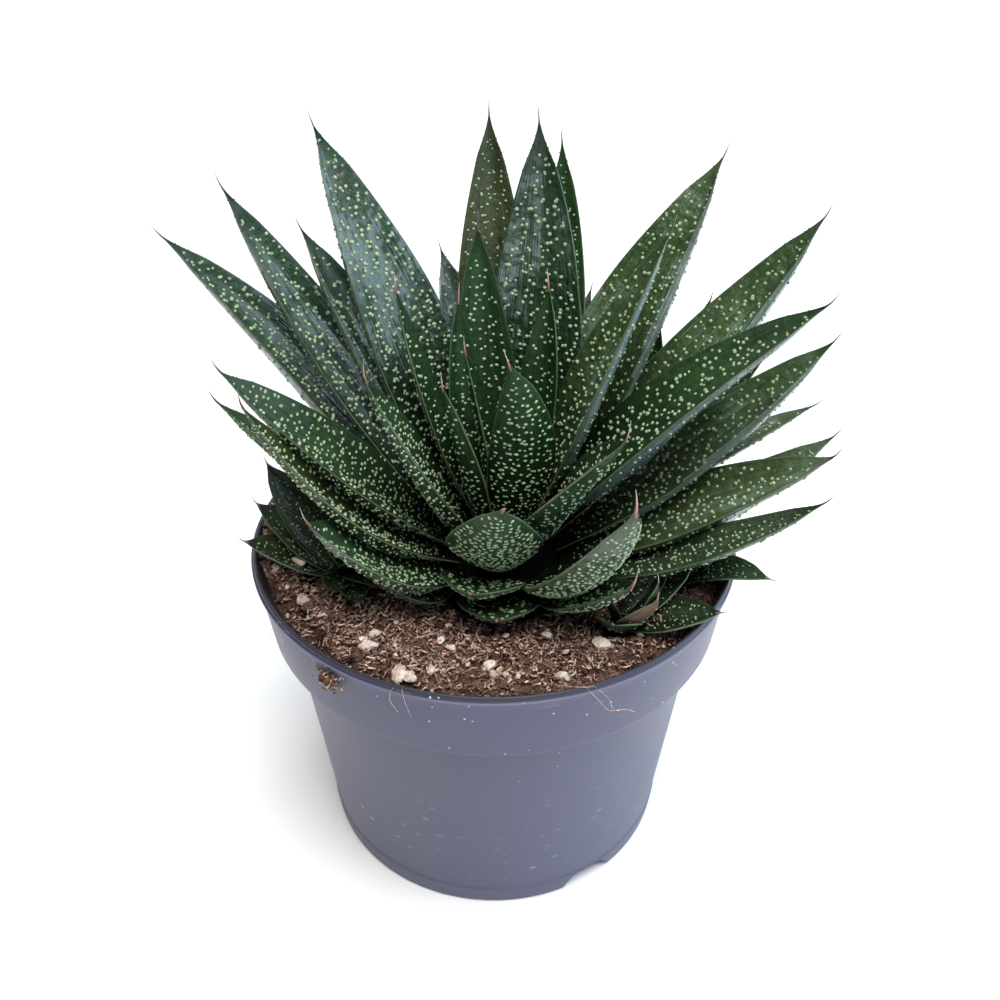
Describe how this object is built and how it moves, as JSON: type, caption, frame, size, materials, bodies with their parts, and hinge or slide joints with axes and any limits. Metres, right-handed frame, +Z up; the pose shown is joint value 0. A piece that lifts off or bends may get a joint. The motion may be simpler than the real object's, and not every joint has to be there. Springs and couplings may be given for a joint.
{
  "type": "potted gasteria",
  "caption": "Warty-leaved gasteria rosette with small offsets, standing in soil in a round plastic nursery pot.",
  "frame": {"origin": "middle of the pot's underside, on the plane it stands on", "axes": "+Z up along the pot's axis; -Y is the front, which the pictured side of the plant faces"},
  "size_m": [0.1563, 0.1223, 0.183],
  "materials": {
    "pot": "satin",
    "soil": "matte",
    "crown": "matte",
    "leaf": "satin"
  },
  "bodies": {
    "root": {"pot": "pot", "soil": "soil", "crown": "crown", "leaf_back_1": "leaf", "leaf_back_2": "leaf", "leaf_back_3": "leaf", "leaf_back_4": "leaf", "leaf_back_5": "leaf", "leaf_back_6": "leaf", "leaf_rear_1": "leaf", "leaf_rear_2": "leaf", "leaf_rear_3": "leaf", "leaf_rear_4": "leaf", "leaf_rear_5": "leaf", "leaf_rear_6": "leaf", "leaf_rear_7": "leaf", "leaf_left_1": "leaf", "leaf_left_2": "leaf", "leaf_left_3": "leaf", "leaf_left_4": "leaf", "leaf_left_5": "leaf", "leaf_left_6": "leaf", "leaf_left_7": "leaf", "leaf_right_1": "leaf", "leaf_right_2": "leaf", "leaf_right_3": "leaf", "leaf_right_4": "leaf", "leaf_right_5": "leaf", "leaf_right_6": "leaf", "leaf_right_7": "leaf", "leaf_right_8": "leaf", "leaf_right_9": "leaf", "leaf_front_1": "leaf", "leaf_front_2": "leaf", "leaf_front_3": "leaf", "leaf_front_4": "leaf", "leaf_front_5": "leaf", "leaf_front_6": "leaf", "leaf_front_7": "leaf", "leaf_front_8": "leaf", "leaf_front_9": "leaf", "leaf_young_1": "leaf", "leaf_young_2": "leaf", "leaf_young_3": "leaf", "leaf_young_4": "leaf", "leaf_young_5": "leaf", "leaf_young_6": "leaf", "offset_left": "leaf", "offset_right": "leaf", "offset_front": "leaf", "offset_back": "leaf"}
  },
  "joints": []
}
